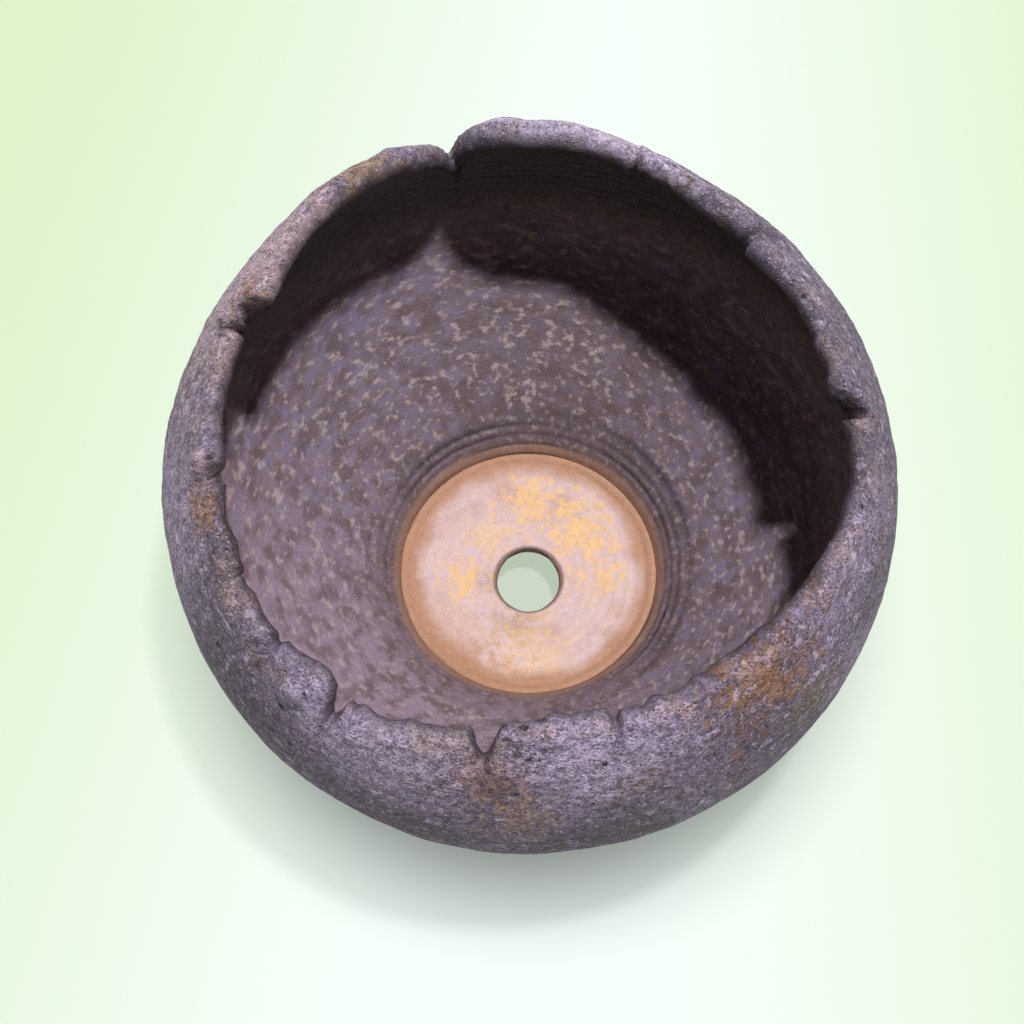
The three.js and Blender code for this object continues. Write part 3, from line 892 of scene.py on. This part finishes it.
def foot_mesh(name, angle, seed):
    """One pad: a flat sole, a rounded heel, a pressed-in waist and a spread top."""
    profile = [(radius, 0.0) for radius in np.linspace(1.0, FOOT_RADIUS - 3.0, 8)]
    profile += arc(FOOT_RADIUS - HEEL, HEEL, HEEL, np.linspace(3.0, 1.6, 8))
    waist_rows = np.linspace(0.1, 1.0, 9)
    profile += [(FOOT_RADIUS - WAIST * math.sin(math.pi * s), 2.8 + 5.6 * s) for s in waist_rows]
    profile += [(radius, FOOT_TOP) for radius in np.linspace(FOOT_RADIUS - 0.6, 1.0, 8)]
    radius, height = np.array(profile).T
    circle = np.radians(np.arange(0.0, 360.0, 3.0))
    radius, height = radius[:, None], height[:, None] * np.ones((1, len(circle)))
    turn = math.radians(angle)
    middle = (FOOT_CIRCLE * math.cos(turn), FOOT_CIRCLE * math.sin(turn))
    skin = np.stack([radius * np.cos(circle), radius * np.sin(circle), height], axis=2)
    waist = np.exp(-(((height - 5.0) / 2.4) ** 2))
    thumb = 0.9 * clay_noise(skin, 9.0, seed) * waist + 0.15 * clay_noise(skin, 2.5, seed + 1)
    side = soft_step((radius - FOOT_RADIUS + 4.0) / 3.0)
    skin[..., :2] *= (1.0 + (thumb - 0.25) * side / FOOT_RADIUS)[..., None]
    skin[..., 0] += middle[0]
    skin[..., 1] += middle[1]
    rows, columns = skin.shape[:2]
    index = np.arange(rows * columns).reshape(rows, columns)
    ahead = np.roll(index, -1, axis=1)
    faces = np.stack([index[:-1], ahead[:-1], ahead[1:], index[1:]], axis=2)
    faces = faces.reshape(-1, 4).tolist()
    sole, top = rows * columns, rows * columns + 1
    points = skin.reshape(-1, 3).tolist() + [(*middle, 0.0), (*middle, FOOT_TOP)]
    faces += [(int(ahead[0, k]), int(index[0, k]), sole) for k in range(columns)]
    faces += [(int(index[-1, k]), int(ahead[-1, k]), top) for k in range(columns)]
    mesh = bpy.data.meshes.new(name)
    mesh.from_pydata([tuple(part / 1000.0 for part in point) for point in points], [], faces)
    mesh.shade_smooth()
    thing = bpy.data.objects.new(name, mesh)
    bpy.context.scene.collection.objects.link(thing)
    return thing


FOOT_BROWN = (0.20, 0.14, 0.125)
FOOT_DARK = (0.13, 0.09, 0.095)
RUBBED_CLAY = (0.42, 0.31, 0.25)

foot_material, tree, clay, place = new_material("foot clay")
grog = placed(tree, grog_clay, {"Place": place, "Grain Size": 0.6, "Pitting": 0.8})
colour = tint(tree, clouds(tree, place, 80.0, 4.0, 0.4, 0.62), FOOT_BROWN, FOOT_DARK)
low = put(tree, "ShaderNodeSeparateXYZ", {"Vector": place}).outputs["Z"]
rubbed = fade(tree, low, 0.0016, 0.0002)
rubbed = calc(tree, "MULTIPLY", rubbed, clouds(tree, place, 230.0, 4.0, 0.4, 0.6))
colour = tint(tree, calc(tree, "MULTIPLY", rubbed, 0.8), colour, RUBBED_CLAY)
colour = shaded(tree, colour, fade(tree, grog["Grit"], -0.85, 0.5, 0.6, 1.35))
# Painted shade: the pits are darkened.
colour = tint(tree, calc(tree, "MULTIPLY", grog["Pits"], 0.85), colour, PAINTED_RECESS_SHADE)
finish(tree, clay, colour, grog, 0.85, 0.62, 0.0005)
for name, angle, seed in FEET:
    foot = foot_mesh("clay_" + name, angle, seed)
    foot.data.materials.append(foot_material)
    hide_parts(name)
    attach(foot, "root")

# The place where the pot stands: a plain pale green floor under soft light, paler in
# the middle than at the sides, and darker where the belly shades it, with a patch of
# light under the drain hole. The lamp is high above, a little to the right.

FLOOR_UNSEEN = (0.42, 0.44, 0.42)
FLOOR_SEEN = (0.12, 0.12, 0.12)
GREEN_IN_THE_MIDDLE = (0.79, 0.87, 0.825)
GREEN_AT_THE_SIDES = (0.61, 0.765, 0.48)
GREEN_BEHIND = (0.84, 0.95, 0.82, 1)
LAMP_PLACE = (0.28, 0.027, 2.1)
LAMP_WATTS = 170
BOX_HEIGHT = 0.09

bpy.ops.mesh.primitive_plane_add(size=8.0, location=(0, 0, 0))
ground = bpy.context.object
ground.name = "pale floor"
ground_material = bpy.data.materials.new("pale floor")
ground_material.use_nodes = True
tree = ground_material.node_tree
shader = tree.nodes["Principled BSDF"]
shader.inputs["Roughness"].default_value = 0.9
seen = put(tree, "ShaderNodeLightPath").outputs["Is Camera Ray"]
tree.links.new(tint(tree, seen, FLOOR_UNSEEN, FLOOR_SEEN), shader.inputs["Base Color"])

# The pale band across the floor leans a little, and it turns green to both sides.
spot = put(tree, "ShaderNodeTexCoord").outputs["Object"]
across = put(tree, "ShaderNodeSeparateXYZ", {"Vector": spot}).outputs
middle_line = calc(tree, "ADD", calc(tree, "MULTIPLY", across["Y"], 0.12), 0.008)
sideways = calc(tree, "ABSOLUTE", calc(tree, "SUBTRACT", across["X"], middle_line))
sideways = calc(tree, "ADD", sideways, calc(tree, "MULTIPLY", across["Y"], 0.15))
from_pot = on_vectors(tree, "LENGTH", spot)["Value"]
sideways = calc(tree, "ADD", sideways, fade(tree, from_pot, 0.03, 0.06, 0.14, 0.0))
to_the_side = fade(tree, sideways, 0.0, 0.28)
glow = tint(tree, to_the_side, GREEN_IN_THE_MIDDLE, GREEN_AT_THE_SIDES)
shade = calc(
    tree,
    "MAXIMUM",
    fade(tree, from_pot, 0.080, 0.140, 0.22, 1.0),
    fade(tree, from_pot, 0.020, 0.045, 0.68, 0.22),
)
emission = put(tree, "ShaderNodeEmission", {"Strength": seen})
tree.links.new(shaded(tree, glow, shade), emission.inputs["Color"])
both = put(tree, "ShaderNodeAddShader", {0: shader.outputs[0], 1: emission.outputs[0]})
tree.links.new(both.outputs[0], tree.nodes["Material Output"].inputs["Surface"])
ground.data.materials.append(ground_material)

world = bpy.data.worlds.new("studio")
bpy.context.scene.world = world
world.use_nodes = True
tree = world.node_tree
seen = put(tree, "ShaderNodeLightPath").outputs["Is Camera Ray"]
backdrop = tree.nodes["Background"].inputs
backdrop["Color"].default_value = GREEN_BEHIND
tree.links.new(fade(tree, seen, 0.0, 1.0, 0.02, 0.95), backdrop["Strength"])

lamp = bpy.data.lights.new("high lamp", "POINT")
lamp.energy = LAMP_WATTS
lamp.shadow_soft_size = 0.07
lamp_object = bpy.data.objects.new("high lamp", lamp)
lamp_object.location = LAMP_PLACE
bpy.context.scene.collection.objects.link(lamp_object)


def soft_box(name, across, ahead, width, watts):
    """A long low box of light, no higher than the rim, so it lights only the outside."""
    light = bpy.data.lights.new(name, "AREA")
    light.shape = "RECTANGLE"
    light.size = width
    light.size_y = 0.12
    light.energy = watts
    box = bpy.data.objects.new(name, light)
    box.location = (across, ahead, BOX_HEIGHT)
    away = Vector(box.location) - Vector((0, 0, 0.08))
    box.rotation_euler = away.to_track_quat("Z", "Y").to_euler()
    bpy.context.scene.collection.objects.link(box)


soft_box("left box", -1.2, 0.2, 1.2, 4)
soft_box("right box", 1.2, 0.1, 1.2, 3.5)
soft_box("back box", 0.0, 1.3, 1.4, 4.5)
soft_box("front box", 0.0, -1.3, 1.4, 2.5)

# The camera looks down at the middle of the pot from the front.
VIEW_ELEVATION = math.radians(68)
VIEW_DISTANCE = 0.655
VIEW_MIDDLE = Vector((-0.0058, 0, 0.0765))
camera = bpy.data.cameras.new("camera")
camera.sensor_width = 36
camera.lens = 70.3
camera_object = bpy.data.objects.new("camera", camera)
looking = Vector((0, math.cos(VIEW_ELEVATION), -math.sin(VIEW_ELEVATION)))
camera_object.location = VIEW_MIDDLE - looking * VIEW_DISTANCE
camera_object.rotation_euler = looking.to_track_quat("-Z", "Y").to_euler()
bpy.context.scene.collection.objects.link(camera_object)
bpy.context.scene.camera = camera_object
bpy.context.scene.view_settings.view_transform = "Standard"
